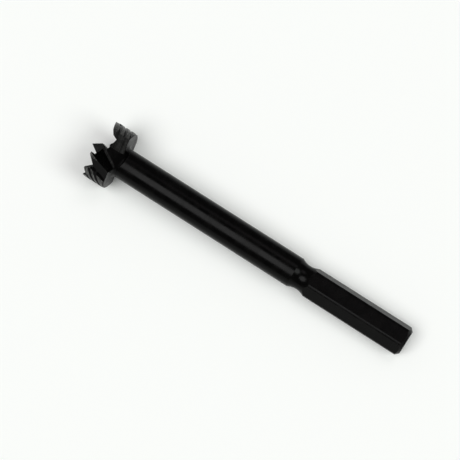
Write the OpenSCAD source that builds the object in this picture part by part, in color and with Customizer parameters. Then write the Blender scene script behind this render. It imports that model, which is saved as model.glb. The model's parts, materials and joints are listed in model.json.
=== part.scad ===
// Forstner bit with a toothed rim, one solid piece of tool steel, in millimetres.
// It is drawn upright, hexagon end at zero and spur up, and then laid down as it rests on a table.
// Around the axis, angles are counted in the sense of cutting.

/* [Shank] */
// Diameter of the round bar
bar_d = 8; // [7.6:0.1:8.4]
// Length from the hexagon end to the back of the head
shank_len = 84.2; // [60:0.2:110]
// Width across the six flats
hex_af = 7.25; // [7:0.05:7.45]
// Length of the six flats
hex_len = 28; // [22:0.5:34]
// Chamfer at the hexagon end
end_chamfer = 0.9; // [0.4:0.1:1.2]
// Smallest diameter of the neck
neck_d = 6.7; // [6.2:0.1:6.8]
// Length of the neck
neck_len = 4.7; // [3.6:0.1:6]

/* [Head] */
// Cutting diameter
head_d = 15.875; // [15:0.125:17]
// Height of the head, from its back to the tooth tips
head_h = 6.1; // [5.6:0.1:7]
// Fillet between shank and head
back_fillet = 0.9; // [0.4:0.1:1.2]
// Rounding of the outer edge at the back
back_round = 0.4; // [0.2:0.05:0.6]
// Angle of a wing's trailing face ahead of the side of the other wing
trail_angle = 120; // [116:1:124]

/* [Lips] */
// Drop of the lips below the tooth tips
lip_drop = 0.9; // [0.5:0.1:1.2]
// Direction of a lip
lip_turn = 46; // [42:1:50]
// Distance of a lip ahead of the axis
lip_ahead = 1.5; // [1.3:0.1:1.9]
// Rake angle of the lips
lip_rake = 23; // [18:1:26]
// Relief angle behind the lips
lip_relief = 17; // [12:1:20]

/* [Chip mouths] */
// Height of a mouth's floor above the axis
mouth_floor = 2.1; // [1.9:0.1:2.5]
// Radius at the root of a lip
mouth_root = 0.8; // [0.4:0.1:1.2]
// Radius of the run-out into the shank
mouth_end = 3.2; // [2.6:0.1:4]

/* [Rim] */
// Thickness of the rim at the tooth tips
rim_t = 0.4; // [0.3:0.05:0.6]
// Angle of the rim's inside to the axis
rim_bevel = 33; // [28:1:38]
// Angle of the tip behind the leading tooth
tooth_first = 23.5; // [21:0.5:26]
// Angle between teeth
tooth_pitch = 26; // [24:0.5:28]
// Depth of the gullets
tooth_depth = 1.2; // [0.9:0.05:1.4]
// Share of a gullet taken by the gentle back of a tooth
tooth_back = 0.75; // [0.65:0.01:0.82]
// Depth of the gullet behind the leading tooth
lead_depth = 2.1; // [1.6:0.1:2.4]
// Angle of the bottom of that gullet
lead_bottom = 35; // [33:0.5:38]
// Rise of that gullet towards the axis
gullet_rise = 20; // [12:1:28]
// Fall of the last tooth's back towards the axis
last_fall = 25; // [10:1:35]
// Angle of the leading tooth's back edge
lead_edge = 57; // [55:0.5:60]
// Width of the land at a tooth tip
tip_land = 0.1; // [0.06:0.01:0.2]

/* [Outside of the head] */
// Depth of the slanted grooves
groove_depth = 0.45; // [0.3:0.05:0.6]
// Half width of the slanted grooves
groove_half = 0.42; // [0.3:0.02:0.5]
// Angle by which a groove starts ahead of its gullet's bottom
groove_lead = 3; // [1:0.5:5]
// Depth of the flat recess behind the leading land
recess_depth = 0.6; // [0.4:0.05:0.7]
// Angle of the deep side of the recess, at the bottom of its gullet
recess_turn = 30; // [28:0.5:32]
// Angle from the deep side to the leading land
recess_span = 22; // [18:0.5:23]

/* [Spur] */
// Height of the spur above the tooth tips
spur_h = 2.5; // [2:0.1:3]
// Half width of the spur at its base
spur_half = 1.45; // [1.3:0.05:1.6]
// Half width of the post below the spur
post_half = 1.1; // [0.95:0.05:1.2]
// Length of the taper from the spur to its post
post_taper = 1.2; // [0.6:0.1:1.6]
// Turn of the spur about the axis
spur_turn = 75; // [45:1:90]

/* [Hidden] */
$fn = 96;
steel = [0.07, 0.07, 0.075];
big = 60;
bar_r = bar_d / 2;
head_r = head_d / 2;
tip_z = shank_len + head_h;
lip_z = tip_z - lip_drop;
spur_z = tip_z + spur_h;
neck_z = hex_len + neck_len * 0.4;
neck_deep = bar_r - neck_d / 2;
neck_r = (neck_len * neck_len / 4 + neck_deep * neck_deep) / (2 * neck_deep);
// The root line of a mouth, where the rake face meets the floor
root_lean = atan2(sin(lip_rake), sin(lip_turn) * cos(lip_rake));
root_fold = acos(cos(lip_turn) * cos(lip_rake));
root_x = (cos(lip_turn) * mouth_floor - lip_ahead) / sin(lip_turn);
root_run = mouth_root * tan(root_fold / 2);
// The sawtooth of the rim, laid out on the tangent plane
tooth_half = head_r * tan(tooth_pitch / 2);
gullet_x = tooth_half * (1 - 2 * tooth_back);
back_slope = atan(tooth_depth / (tooth_half - gullet_x));
bottom_turn = atan(gullet_x / head_r);
groove_step = 2 * tooth_half * tan(back_slope);
groove_top = tip_z - tooth_depth - head_r * sin(tooth_first - tooth_pitch * 1.5 + bottom_turn) * tan(back_slope);
lead_mid = (lead_edge + tooth_first) / 2;
last_tip = tooth_first - 2 * tooth_pitch;
// The resting pose, on the end of a flat, a wing's back corner and the other wing's leading tooth
trail_corner = 180 - trail_angle;
lead_corner = lip_turn + asin((lip_ahead + lip_drop * tan(lip_rake)) / head_r);
rest_base = shank_len + back_round - end_chamfer * 0.6;
first_tilt = atan((head_r * sin(trail_corner) - hex_af / 2) / rest_base);
corner_step = (head_h - back_round) * tan(first_tilt) / (2 * head_r * cos((lead_corner + trail_corner) / 2));
head_turn = asin(corner_step) - (lead_corner - trail_corner) / 2;
rest_tilt = atan((head_r * sin(trail_corner - head_turn) - hex_af / 2) / rest_base);
rest_lift = hex_af / 2 * cos(rest_tilt) - end_chamfer * 0.6 * sin(rest_tilt);
rest_mid = (spur_z * cos(rest_tilt) - (bar_r - end_chamfer) * sin(rest_tilt)) / 2;

module bar_profile() {
    difference() {
        square([bar_r, shank_len + 1]);
        translate([bar_r - end_chamfer, 0])
            polygon([[0, 0], [1, -1], [end_chamfer + 1, -1], [end_chamfer + 1, end_chamfer + 1]]);
        translate([neck_d / 2 + neck_r, neck_z])
            circle(neck_r);
    }
    // Fillet under the head
    translate([0, shank_len - back_fillet])
        difference() {
            square([bar_r + back_fillet, back_fillet + 1]);
            translate([bar_r + back_fillet, 0])
                circle(back_fillet);
        }
}

module head_profile() {
    translate([0, shank_len])
        square([head_r - back_round, head_h]);
    translate([0, shank_len + back_round])
        square([head_r, head_h - back_round]);
    translate([head_r - back_round, shank_len + back_round])
        circle(back_round);
}

module bar() {
    difference() {
        rotate_extrude()
            bar_profile();
        for (i = [0 : 5])
            rotate([0, 0, 90 + 60 * i])
                translate([hex_af / 2, -bar_r, -1])
                    cube([bar_r, bar_d, neck_z + 1]);
    }
}

// Everything below a lip's clearance plane, on the side of that lip's wing
module under_flank() {
    intersection() {
        rotate([0, 0, lip_turn + 90])
            translate([lip_ahead, 0, lip_z])
                rotate([0, -lip_relief, 0])
                    translate([-big / 2, -big / 2, -big])
                        cube([big, big, big]);
        translate([0, -big / 2, shank_len - big / 2])
            cube([big, big, big]);
    }
}

module rim_profile() {
    low_r = head_r - rim_t - head_h * tan(rim_bevel);
    polygon([[low_r, shank_len], [big, shank_len], [big, tip_z], [head_r - rim_t, tip_z]]);
}

module head_blank() {
    intersection() {
        rotate_extrude()
            head_profile();
        union() {
            rotate_extrude()
                rim_profile();
            for (side = [0, 180])
                rotate([0, 0, side])
                    under_flank();
        }
    }
}

// Cross-section of a mouth along its root line
module mouth_section() {
    run = [sin(90 - root_fold), cos(90 - root_fold)];
    polygon([[-root_run, 0], root_run * run, big * run, [-big, big], [-big, 0]]);
    translate([-root_run, mouth_root])
        circle(mouth_root);
}

// Side view of a mouth, with its run-out into the shank
module mouth_side() {
    end_z = shank_len - 1.7 + sqrt(mouth_end * mouth_end - pow(mouth_end - bar_r + mouth_floor, 2));
    translate([end_z, mouth_floor])
        square([big, big]);
    translate([end_z - mouth_end, mouth_floor + mouth_end])
        square([big, big]);
    translate([end_z, mouth_floor + mouth_end])
        circle(mouth_end);
}

module mouth() {
    intersection() {
        translate([root_x, mouth_floor, lip_z])
            rotate([0, -root_lean, 0])
                linear_extrude(2 * big, center = true)
                    mouth_section();
        rotate([0, -90, 0])
            mirror([0, 0, 1])
                linear_extrude(2 * big, center = true)
                    mouth_side();
        rotate([0, 0, trail_angle - 90])
            translate([0, -big, 0])
                cube([big, 2 * big, 3 * big]);
    }
}

// A gullet through the rim, from the tip ahead to the tip behind
module gullet(turn, ahead, bottom, behind, depth, rise) {
    rotate([0, 0, turn])
        translate([head_r, 0, tip_z])
            rotate([0, rise, 0])
                translate([-head_r / 2, 0, 0])
                    rotate([90, 0, 90])
                        linear_extrude(head_r)
                            polygon([[ahead, 0], [bottom, -depth], [behind, 0], [behind, 3], [ahead, 3]]);
}

// Flat recess between the leading land and the first sawtooth
module recess() {
    far_y = head_r * sin(recess_span);
    far_x = head_r * (cos(recess_span) - 1);
    rotate([0, 0, recess_turn])
        translate([head_r, 0, tip_z - lead_depth])
            rotate([-lip_rake, 0, 0])
                linear_extrude(2 * head_h, center = true)
                    polygon([[-recess_depth, 0], [1, -0.4], [1, far_y], [far_x, far_y]]);
}

// Slanted groove round the outside of a wing, from one angle back to the trailing face
module groove(z, from) {
    ring_r = head_r / pow(cos(back_slope), 2);
    wide = groove_half * (1 + groove_depth) / groove_depth;
    start = asin(sin(from) * cos(back_slope));
    translate([head_r - ring_r, 0, z])
        rotate([back_slope, 0, 0])
            rotate([0, 0, start - 90])
                rotate_extrude(angle = 90)
                    translate([ring_r - groove_depth, 0])
                        polygon([[0, 0], [1 + groove_depth, wide], [1 + groove_depth, -wide]]);
}

module rim_cuts() {
    // Gullet behind the leading tooth
    gullet(lead_mid, head_r * tan(lead_edge - lead_mid), head_r * tan(lead_bottom - lead_mid),
        head_r * tan(tooth_first - lead_mid) + tip_land, lead_depth, gullet_rise);
    recess();
    // Sawtooth gullets, each with the groove that runs on from it
    for (i = [0 : 1]) {
        middle = tooth_first - tooth_pitch * (i + 0.5);
        gullet(middle, tooth_half, gullet_x, tip_land - tooth_half, tooth_depth, 0);
        groove(groove_top - groove_step * (i == 0 ? 1 : 0), middle + bottom_turn + groove_lead);
    }
    // Long back of the last tooth
    gullet(last_tip - tooth_pitch / 2, tooth_half, -2 * tooth_half, -2 * tooth_half - 0.1, tooth_depth, -last_fall);
    // Grooves that start at the recess
    for (k = [2 : 3])
        groove(groove_top - groove_step * k, recess_turn);
}

// Square spur that tapers back to its post
module spur() {
    post_z = tip_z - post_taper;
    foot_z = shank_len + 1;
    half = [[post_half, foot_z], [post_half, post_z], [spur_half, tip_z], [0, spur_z]];
    rotate([0, 0, spur_turn])
        intersection_for (side = [0, 90])
            rotate([90, 0, side])
                linear_extrude(4 * spur_half, center = true)
                    union() {
                        polygon(concat([[0, foot_z]], half));
                        mirror([1, 0])
                            polygon(concat([[0, foot_z]], half));
                    }
}

module bit_upright() {
    difference() {
        union() {
            bar();
            rotate([0, 0, head_turn])
                head_blank();
        }
        for (side = [0, 180])
            rotate([0, 0, side + head_turn]) {
                mouth();
                rim_cuts();
            }
    }
    spur();
}

module bit() {
    color(steel)
        translate([-rest_mid, 0, rest_lift])
            rotate([0, -rest_tilt, 0])
                rotate([90, 0, 90])
                    bit_upright();
}

bit();
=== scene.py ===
import json
import math

import bpy
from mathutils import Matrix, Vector


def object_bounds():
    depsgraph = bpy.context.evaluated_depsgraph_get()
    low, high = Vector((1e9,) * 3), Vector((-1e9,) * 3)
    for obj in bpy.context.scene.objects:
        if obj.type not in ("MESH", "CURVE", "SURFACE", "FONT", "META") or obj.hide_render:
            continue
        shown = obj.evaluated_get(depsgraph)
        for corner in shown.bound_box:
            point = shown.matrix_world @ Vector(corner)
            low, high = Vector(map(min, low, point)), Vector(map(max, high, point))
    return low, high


# Camera, in degrees, metres and millimetres of lens
CAM_AZIMUTH = 213.084
CAM_ELEVATION = 72.822
CAM_DISTANCE = 0.465834
CAM_TARGET = (0.005372, -0.000349, 0.005)
CAM_LENS = 146.555
CAM_SENSOR = 36.0
CAM_CLIP = 0.01

# Each lamp's name, azimuth, elevation, strength, angle across in degrees and colour
SUNS = (
    ("key", 160.0, 62.0, 1.68, 40.0, (1.0, 1.0, 1.0)),
    ("second", 275.0, 49.0, 1.15, 32.0, (0.97, 1.0, 0.98)),
    ("third", 345.0, 62.0, 0.24, 26.0, (1.0, 0.92, 0.96)),
)
WORLD_COLOR = (1.0, 1.0, 1.0, 1.0)
WORLD_STRENGTH = 0.2
FLOOR_COLOR = (0.955, 0.97, 0.95, 1.0)
FLOOR_ROUGHNESS = 0.9
FLOOR_HALF = 1.5

# Places along the bit's own axis in metres, from the hexagon's end face
HEX_MIDDLE = 0.014
HEAD_BACK = 0.0842
SPUR_FOOT = 0.0892
# Lengths along the axis over which the painted highlight and reflection on the head, and the lighter
# spur, fade in
HEAD_FADE = 0.0002
SPUR_FADE = 0.0003
# Radius from the axis where the spur's lightening is full, and where it has gone
SPUR_FULL = 0.0021
SPUR_GONE = 0.0024
# Depth under the outside of the head where the ground finish has gone, and where it is full
GROUND_GONE = 0.00005
GROUND_FULL = 0.00002
# Way that the head's two flat trailing faces look, as a turn about the axis, up to the sign
TRAIL_TURN = math.radians(30.0)
TRAIL_FACING = (0.0, math.cos(TRAIL_TURN), math.sin(TRAIL_TURN))
# Cosines between which a face starts to count as a trailing face
TRAIL_COSINES = (0.97, 0.995)
# Distance from the trailing faces' common plane where their painted reflection is full, and where it
# has gone
TRAIL_FULL = 0.0004
TRAIL_GONE = 0.0006
# Root line of a chip mouth, along which a highlight is painted, as a point and a direction, and the
# sides of the axis that have one
ROOT_POINT = (0.0894, -0.00006, 0.0021)
ROOT_WAY = (0.861, -0.508, 0.0)
ROOT_SIDES = (1.0, -1.0)
# Distance from a root line where its painted highlight is full, and where it has gone
ROOT_FULL = 0.00025
ROOT_GONE = 0.0006
# Reach of the wear along sharp edges, and the cosines that stand for an open face and a sharp edge
EDGE_REACH = 0.00012
EDGE_COSINES = (0.98, 0.8)

# Noise per metre: turning marks along and across the axis, mottled gloss and patches
MARK_SCALE = (6000.0, 90.0, 90.0)
MOTTLE_SCALE = 420.0
PATCH_SCALE = 700.0
# Parts of a noise's range that a finish follows
NARROW = (0.35, 0.65)
WIDE = (0.3, 0.7)
# How much uncoated steel shows, least and most: on the ground outside, at worn edges, and in the
# painted highlight, painted reflection and lighter spur
GROUND_SHARE = (0.4, 1.0)
EDGE_SHARE = (0.15, 0.6)
SHEEN_AND_SPUR_SHARE = (0.17, 0.33)
# Strength of the painted highlight on the roots and of the lightening of the spur, compared with the
# painted reflection on the trailing faces
ROOT_HIGHLIGHT = 0.9
SPUR_LIGHTENING = 0.7
# Black oxide and uncoated steel, the steel also standing in for the painted highlight and painted
# reflection: darkest and lightest colour, lowest and highest roughness
OXIDE_COLORS = ((0.0005, 0.0005, 0.0005), (0.0016, 0.0015, 0.0014))
OXIDE_ROUGHNESS = (0.17, 0.3)
OXIDE_SPECULAR = 0.07
BARE_AND_SHEEN_COLORS = ((0.026, 0.026, 0.025), (0.13, 0.13, 0.126))
BARE_AND_SHEEN_ROUGHNESS = (0.28, 0.42)
BARE_AND_SHEEN_METALLIC = 0.9
# Relief of the turning marks
MARK_STRENGTH = 0.4
MARK_DEPTH = 0.00003

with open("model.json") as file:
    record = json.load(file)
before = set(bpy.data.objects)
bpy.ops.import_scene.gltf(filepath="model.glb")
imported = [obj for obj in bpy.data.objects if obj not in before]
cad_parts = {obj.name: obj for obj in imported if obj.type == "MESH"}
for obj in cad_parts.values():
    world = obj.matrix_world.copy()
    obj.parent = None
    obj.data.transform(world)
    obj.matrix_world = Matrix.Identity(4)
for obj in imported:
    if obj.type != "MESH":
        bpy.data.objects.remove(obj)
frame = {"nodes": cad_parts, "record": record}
cad_box = [list(corner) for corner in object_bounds()]
scene = bpy.context.scene
scene.view_settings.view_transform = "Standard"

# The bit's own axis as it lies at rest, from the middle of the hexagon's end face
mounts = {mount["name"]: mount for mount in frame["record"]["mounts"]}
axis_way = -Vector(mounts["hex_drive"]["axis"])
axis_start = Vector(mounts["hex_drive"]["pos_m"]) - HEX_MIDDLE * axis_way
axis_tilt = math.asin(axis_way.z)
# The head is the widest part, so it reaches the side of the box
head_radius = cad_box[1][1]


def direction(azimuth, elevation):
    """Unit vector from the object towards an azimuth and elevation, azimuth 0 being -Y."""
    a = math.radians(azimuth)
    e = math.radians(elevation)
    return Vector((math.sin(a) * math.cos(e), -math.cos(a) * math.cos(e), math.sin(e)))


def add_camera():
    data = bpy.data.cameras.new("camera")
    data.lens = CAM_LENS
    data.sensor_width = CAM_SENSOR
    data.clip_start = CAM_CLIP
    camera = bpy.data.objects.new("camera", data)
    towards = direction(CAM_AZIMUTH, CAM_ELEVATION)
    camera.location = Vector(CAM_TARGET) + CAM_DISTANCE * towards
    camera.rotation_euler = (-towards).to_track_quat("-Z", "Y").to_euler()
    scene.collection.objects.link(camera)
    scene.camera = camera


def add_sun(name, azimuth, elevation, strength, angle, color):
    data = bpy.data.lights.new(name, "SUN")
    data.energy = strength
    data.angle = math.radians(angle)
    data.color = color
    lamp = bpy.data.objects.new(name, data)
    lamp.rotation_euler = direction(azimuth, elevation).to_track_quat("Z", "Y").to_euler()
    scene.collection.objects.link(lamp)


def add_world():
    world = bpy.data.worlds.new("world")
    world.use_nodes = True
    background = world.node_tree.nodes["Background"]
    background.inputs["Color"].default_value = WORLD_COLOR
    background.inputs["Strength"].default_value = WORLD_STRENGTH
    scene.world = world


class Nodes:
    """Short helpers to build one material's node tree."""

    def __init__(self, name):
        self.material = bpy.data.materials.new(name)
        self.material.use_nodes = True
        self.tree = self.material.node_tree
        self.shader = self.tree.nodes["Principled BSDF"]

    def add(self, kind, **settings):
        node = self.tree.nodes.new(kind)
        for key, value in settings.items():
            setattr(node, key, value)
        return node

    def link(self, source, target):
        self.tree.links.new(source, target)

    def noise(self, vector, scale, detail, roughness=0.5):
        node = self.add("ShaderNodeTexNoise")
        node.inputs["Scale"].default_value = scale
        node.inputs["Detail"].default_value = detail
        node.inputs["Roughness"].default_value = roughness
        self.link(vector, node.inputs["Vector"])
        return node.outputs["Fac"]

    def fade(self, value, source, target=(0.0, 1.0)):
        """The value taken smoothly from one range, as a pair of ends, to another."""
        node = self.add("ShaderNodeMapRange", interpolation_type="SMOOTHSTEP")
        for key, number in zip(("From Min", "From Max", "To Min", "To Max"), (*source, *target)):
            node.inputs[key].default_value = number
        self.link(value, node.inputs["Value"])
        return node.outputs["Result"]

    def math(self, operation, *values):
        node = self.add("ShaderNodeMath", operation=operation, use_clamp=True)
        for value, socket in zip(values, node.inputs):
            self.link(value, socket)
        return node.outputs["Value"]

    def vector(self, operation, value, constant=(0.0, 0.0, 0.0)):
        """Outputs of a vector operation on a value and a constant."""
        node = self.add("ShaderNodeVectorMath", operation=operation)
        node.inputs[1].default_value = constant
        self.link(value, node.inputs[0])
        return node.outputs

    def size_along(self, vector, way):
        return self.math("ABSOLUTE", self.vector("DOT_PRODUCT", vector, way)["Value"])

    def ramp(self, value, positions, colors):
        node = self.add("ShaderNodeValToRGB")
        for element, position, color in zip(node.color_ramp.elements, positions, colors):
            element.position = position
            element.color = (*color, 1.0)
        self.link(value, node.inputs["Fac"])
        return node.outputs["Color"]

    def mix(self, data_type, suffix, factor, first, second):
        """Mix of two colours or two values, whose sockets end in the suffix Color or Float."""
        node = self.add("ShaderNodeMix", data_type=data_type)
        sockets = {socket.identifier: socket for socket in (*node.inputs, *node.outputs)}
        self.link(factor, sockets["Factor_Float"])
        self.link(first, sockets["A_" + suffix])
        self.link(second, sockets["B_" + suffix])
        return sockets["Result_" + suffix]


def axis_places(nodes):
    """Coordinates with X along the bit's own axis, the distance along it and the distance from it."""
    coordinates = nodes.add("ShaderNodeTexCoord")
    mapping = nodes.add("ShaderNodeMapping", vector_type="TEXTURE")
    mapping.inputs["Location"].default_value = axis_start
    mapping.inputs["Rotation"].default_value = (0.0, -axis_tilt, 0.0)
    nodes.link(coordinates.outputs["Object"], mapping.inputs["Vector"])
    place = mapping.outputs["Vector"]
    split = nodes.add("ShaderNodeSeparateXYZ")
    nodes.link(place, split.inputs["Vector"])
    across = nodes.vector("MULTIPLY", place, (0.0, 1.0, 1.0))["Vector"]
    return place, split.outputs["X"], nodes.vector("LENGTH", across)["Value"]


def ground_mask(nodes, radius):
    """One on the outside of the head, which is ground to size."""
    return nodes.fade(radius, (head_radius - GROUND_GONE, head_radius - GROUND_FULL))


def edge_mask(nodes):
    """One at sharp edges and zero on open faces, from a rounded normal against the true one."""
    rounded = nodes.add("ShaderNodeBevel", samples=6)
    rounded.inputs["Radius"].default_value = EDGE_REACH
    geometry = nodes.add("ShaderNodeNewGeometry")
    dot = nodes.add("ShaderNodeVectorMath", operation="DOT_PRODUCT")
    nodes.link(rounded.outputs["Normal"], dot.inputs[0])
    nodes.link(geometry.outputs["Normal"], dot.inputs[1])
    return nodes.fade(dot.outputs["Value"], EDGE_COSINES)


def trailing_reflection_mask(nodes, place):
    """One on the two flat trailing faces of the head, which lie in one plane through the axis, where a
    reflection is painted.
    """
    geometry = nodes.add("ShaderNodeNewGeometry")
    facing = nodes.size_along(geometry.outputs["True Normal"], TRAIL_FACING)
    offset = nodes.size_along(place, TRAIL_FACING)
    near = nodes.fade(offset, (TRAIL_GONE, TRAIL_FULL))
    return nodes.math("MULTIPLY", nodes.fade(facing, TRAIL_COSINES), near)


def root_highlight_mask(nodes, place):
    """Painted highlight, highest along the roots of the two chip mouths, fading out to the sides."""
    masks = []
    for side in ROOT_SIDES:
        point = (ROOT_POINT[0], side * ROOT_POINT[1], side * ROOT_POINT[2])
        way = (ROOT_WAY[0], side * ROOT_WAY[1], side * ROOT_WAY[2])
        offset = nodes.vector("SUBTRACT", place, point)["Vector"]
        cross = nodes.vector("CROSS_PRODUCT", offset, way)["Vector"]
        distance = nodes.vector("LENGTH", cross)["Value"]
        masks.append(nodes.fade(distance, (ROOT_GONE, ROOT_FULL), (0.0, ROOT_HIGHLIGHT)))
    return nodes.math("MAXIMUM", *masks)


def spur_mask(nodes, along, radius):
    """Highest on the centre spur, above the lips and close to the axis."""
    above = nodes.fade(along, (SPUR_FOOT, SPUR_FOOT + SPUR_FADE))
    return nodes.math("MULTIPLY", above, nodes.fade(radius, (SPUR_GONE, SPUR_FULL), (0.0, SPUR_LIGHTENING)))


def painted_sheen_and_spur_mask(nodes, place, along, radius):
    """Where the head is made lighter: a painted reflection on the trailing faces, a painted highlight
    along the mouth roots, and a lighter spur.
    """
    faces = nodes.math("MAXIMUM", trailing_reflection_mask(nodes, place), root_highlight_mask(nodes, place))
    faces = nodes.math("MULTIPLY", faces, nodes.fade(along, (HEAD_BACK - HEAD_FADE, HEAD_BACK)))
    return nodes.math("MAXIMUM", faces, spur_mask(nodes, along, radius))


def bare_and_sheen_mask(nodes, place, along, radius, mottle):
    """How much uncoated steel shows through the black finish where the head is ground or worn, and as
    the painted highlight, painted reflection and lighter spur.
    """
    patches = nodes.noise(place, PATCH_SCALE, detail=3.0)
    layers = (
        (ground_mask(nodes, radius), patches, GROUND_SHARE),
        (edge_mask(nodes), mottle, EDGE_SHARE),
        # Painted highlight on the mouth roots and painted reflection on the trailing faces, with the
        # lighter spur
        (painted_sheen_and_spur_mask(nodes, place, along, radius), patches, SHEEN_AND_SPUR_SHARE),
    )
    ground, edges, sheen_and_spur = (
        nodes.math("MULTIPLY", mask, nodes.fade(noise, NARROW, share)) for mask, noise, share in layers
    )
    return nodes.math("MAXIMUM", nodes.math("MAXIMUM", ground, edges), sheen_and_spur)


def steel_material():
    nodes = Nodes("black_oxide_steel")
    shader = nodes.shader
    shader.inputs["Specular IOR Level"].default_value = OXIDE_SPECULAR
    place, along, radius = axis_places(nodes)
    marks = nodes.noise(nodes.vector("MULTIPLY", place, MARK_SCALE)["Vector"], scale=1.0, detail=3.0)
    mottle = nodes.noise(place, MOTTLE_SCALE, detail=4.0, roughness=0.6)
    # Uncoated steel where the head is ground or worn, and the same steel as a painted highlight on the
    # mouth roots and a painted reflection on the trailing faces
    bare_and_sheen = bare_and_sheen_mask(nodes, place, along, radius, mottle)
    oxide_color = nodes.ramp(mottle, WIDE, OXIDE_COLORS)
    bare_and_sheen_color = nodes.ramp(marks, NARROW, BARE_AND_SHEEN_COLORS)
    nodes.link(nodes.mix("RGBA", "Color", bare_and_sheen, oxide_color, bare_and_sheen_color), shader.inputs["Base Color"])
    nodes.link(nodes.fade(bare_and_sheen, (0.0, 1.0), (0.0, BARE_AND_SHEEN_METALLIC)), shader.inputs["Metallic"])
    satin = nodes.fade(mottle, WIDE, OXIDE_ROUGHNESS)
    streaks = nodes.fade(marks, WIDE, BARE_AND_SHEEN_ROUGHNESS)
    nodes.link(nodes.mix("FLOAT", "Float", bare_and_sheen, satin, streaks), shader.inputs["Roughness"])
    bump = nodes.add("ShaderNodeBump")
    bump.inputs["Strength"].default_value = MARK_STRENGTH
    bump.inputs["Distance"].default_value = MARK_DEPTH
    nodes.link(marks, bump.inputs["Height"])
    nodes.link(bump.outputs["Normal"], shader.inputs["Normal"])
    return nodes.material


def floor_material():
    nodes = Nodes("white_floor")
    shader = nodes.shader
    shader.inputs["Base Color"].default_value = FLOOR_COLOR
    shader.inputs["Roughness"].default_value = FLOOR_ROUGHNESS
    shader.inputs["Specular IOR Level"].default_value = 0.0
    return nodes.material


def add_floor():
    sides = ((-1.0, -1.0), (1.0, -1.0), (1.0, 1.0), (-1.0, 1.0))
    corners = [(FLOOR_HALF * x, FLOOR_HALF * y, 0.0) for x, y in sides]
    mesh = bpy.data.meshes.new("floor")
    mesh.from_pydata(corners, [], [(0, 1, 2, 3)])
    floor = bpy.data.objects.new("floor", mesh)
    floor.data.materials.append(floor_material())
    scene.collection.objects.link(floor)


add_camera()
add_floor()
for sun in SUNS:
    add_sun(*sun)
add_world()

steel = steel_material()
for node in frame["nodes"].values():
    for slot in node.material_slots:
        slot.material = steel
